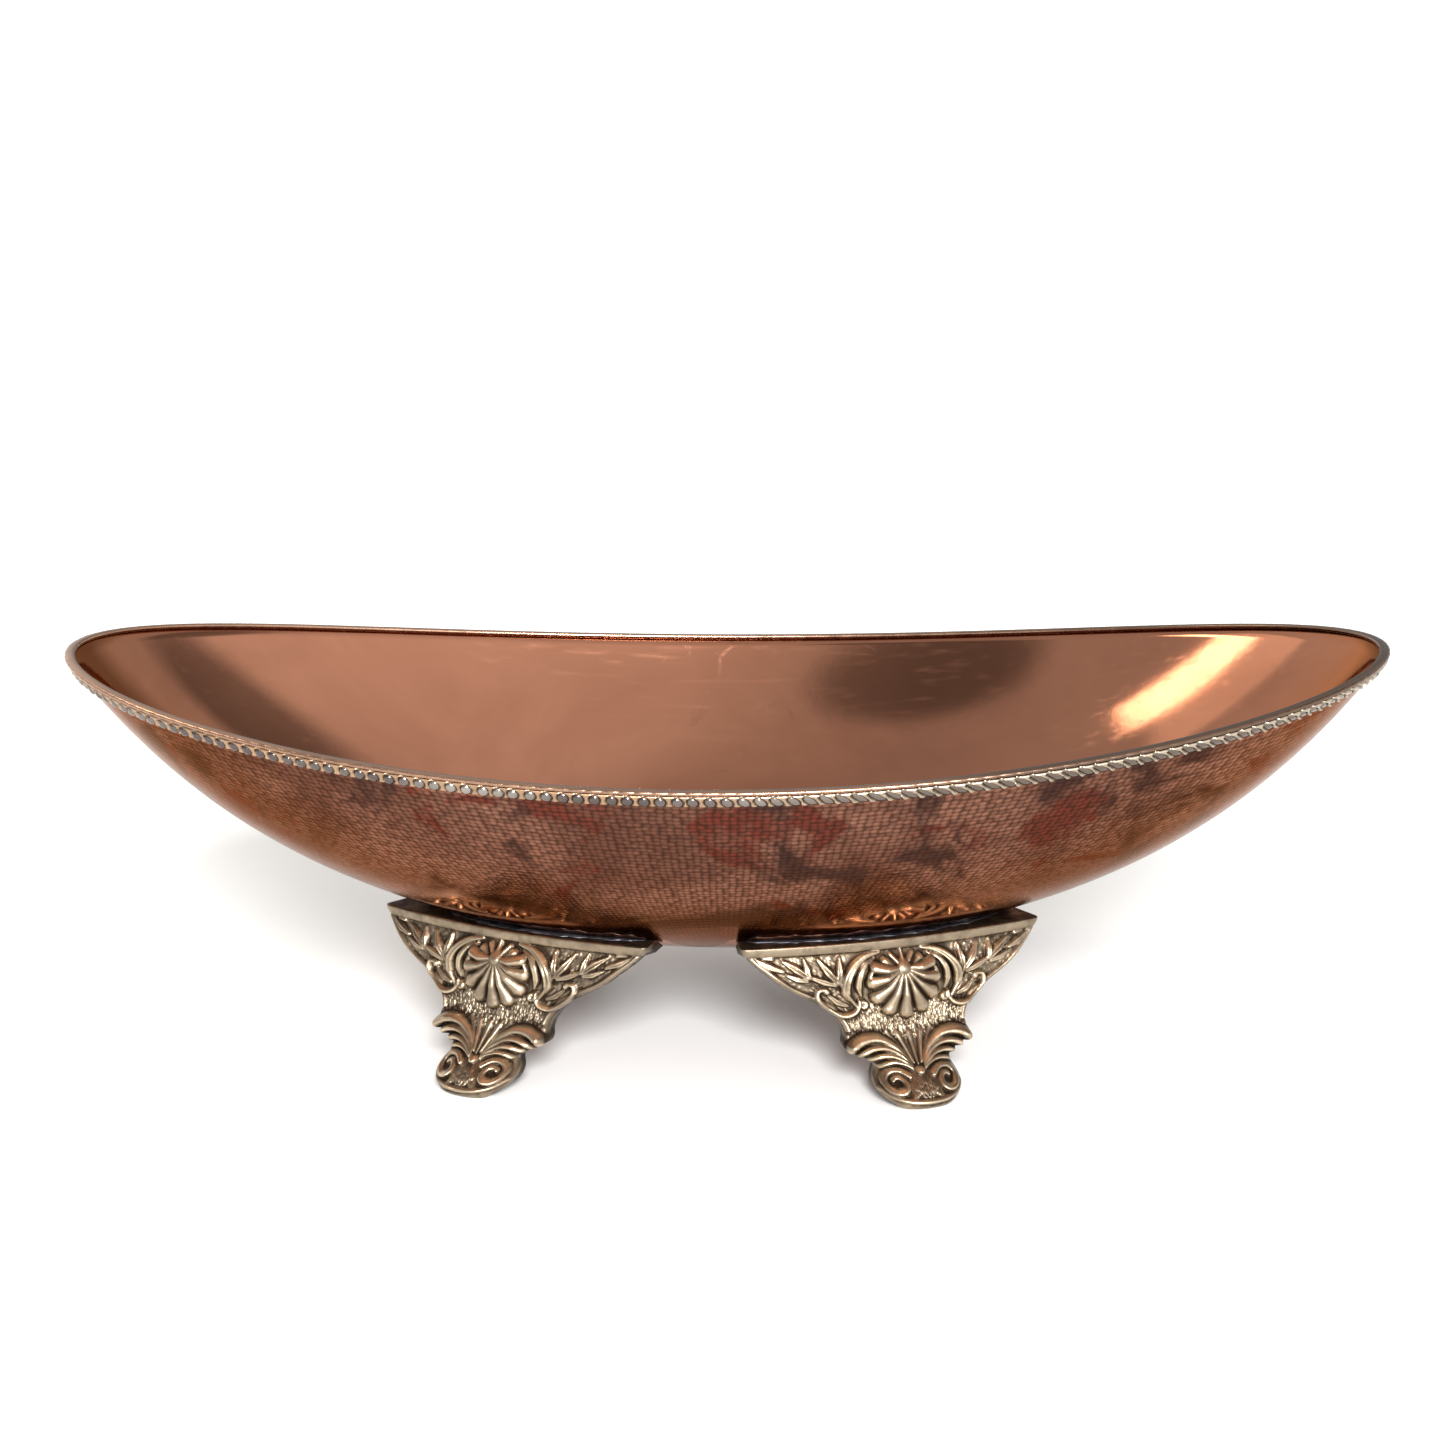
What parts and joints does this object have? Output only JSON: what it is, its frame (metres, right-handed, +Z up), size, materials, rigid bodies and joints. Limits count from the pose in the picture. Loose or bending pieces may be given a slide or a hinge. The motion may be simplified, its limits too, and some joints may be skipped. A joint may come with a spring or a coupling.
{
  "type": "footed oval bowl",
  "caption": "Oval, boat-shaped copper bowl with raised ends, a beaded brass border round its edge and ornate cast brass feet.",
  "frame": {"origin": "middle of the bowl's outline, level with the soles of the feet", "axes": "+X along the bowl, +Y across it, +Z up"},
  "size_m": [0.3456, 0.1848, 0.1063],
  "materials": {
    "copper": "polished copper with an aged brown outside",
    "border_brass": "worn brass, darkened between the beads",
    "foot_brass": "antique cast brass, dark in its recesses",
    "solder": "dull dark grey solder"
  },
  "bodies": {
    "root": {"bowl_shell": "copper", "rim_lip": "border_brass", "rim_border": "border_brass", "rim_joint_solder": "solder", "front_left_foot": "foot_brass", "front_left_foot_solder": "solder", "front_right_foot": "foot_brass", "front_right_foot_solder": "solder", "rear_right_foot": "foot_brass", "rear_right_foot_solder": "solder", "rear_left_foot": "foot_brass", "rear_left_foot_solder": "solder"}
  },
  "joints": []
}
